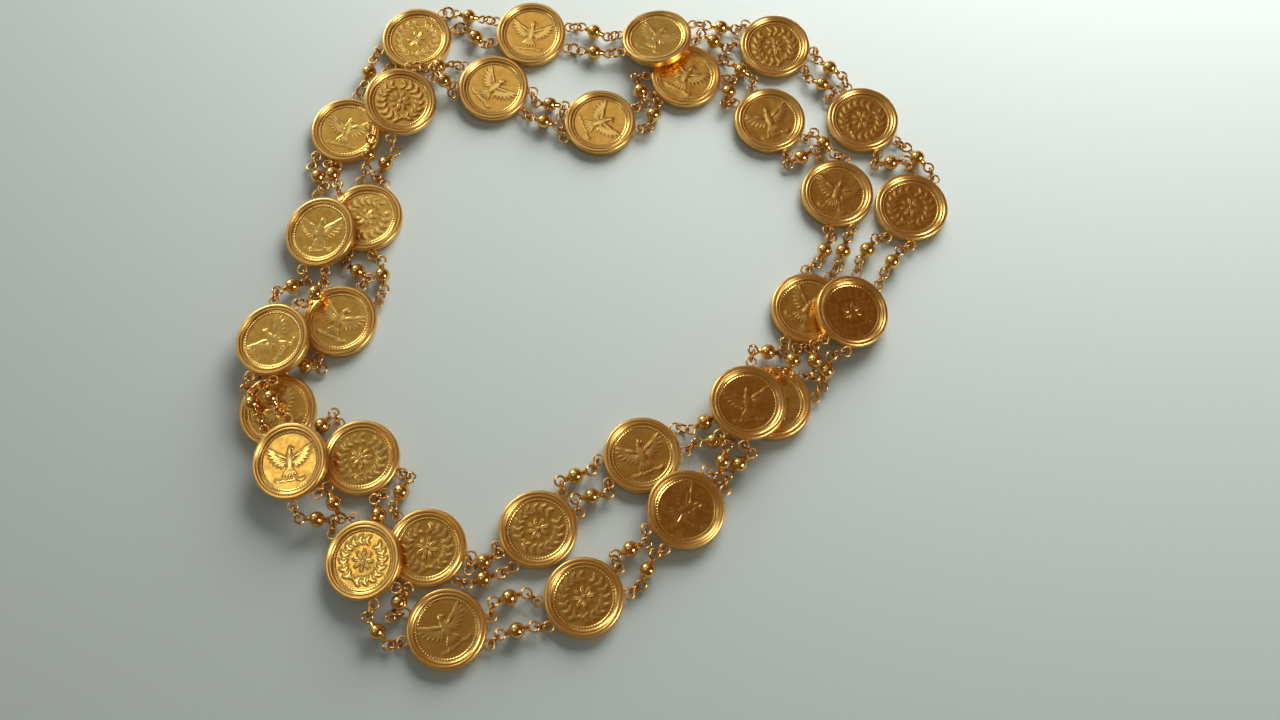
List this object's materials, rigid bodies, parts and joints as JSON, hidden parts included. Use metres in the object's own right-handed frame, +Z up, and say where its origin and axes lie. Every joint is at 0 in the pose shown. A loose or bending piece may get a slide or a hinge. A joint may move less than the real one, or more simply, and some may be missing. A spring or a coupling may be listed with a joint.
{
  "type": "coin necklace",
  "caption": "Long endless necklace of framed relief coins joined by bead links and jump rings, laid in a double round on a flat surface.",
  "frame": {"origin": "on the table, at the middle of the necklace's box", "axes": "+Z up from the table, +Y away from the viewer, +X to the viewer's right"},
  "size_m": [0.1483, 0.1466, 0.0068],
  "materials": {
    "bezel_gold": "polished yellow gold, lightly worn",
    "coin_gold": "struck gold, worn relief",
    "bead_gold": "polished yellow gold",
    "ring_gold": "drawn gold wire"
  },
  "bodies": {
    "root": {"bezel_01": "bezel_gold", "bezel_02": "bezel_gold", "bezel_03": "bezel_gold", "bezel_04": "bezel_gold", "bezel_05": "bezel_gold", "bezel_06": "bezel_gold", "bezel_07": "bezel_gold", "bezel_08": "bezel_gold", "bezel_09": "bezel_gold", "bezel_10": "bezel_gold", "bezel_11": "bezel_gold", "bezel_12": "bezel_gold", "bezel_13": "bezel_gold", "bezel_14": "bezel_gold", "bezel_15": "bezel_gold", "bezel_16": "bezel_gold", "bezel_17": "bezel_gold", "bezel_18": "bezel_gold", "bezel_19": "bezel_gold", "bezel_20": "bezel_gold", "bezel_21": "bezel_gold", "bezel_22": "bezel_gold", "bezel_23": "bezel_gold", "bezel_24": "bezel_gold", "bezel_25": "bezel_gold", "bezel_26": "bezel_gold", "bezel_27": "bezel_gold", "bezel_28": "bezel_gold", "bezel_29": "bezel_gold", "bezel_30": "bezel_gold", "bezel_31": "bezel_gold", "coins": "coin_gold", "bead_links": "bead_gold", "jump_rings": "ring_gold"}
  },
  "joints": []
}
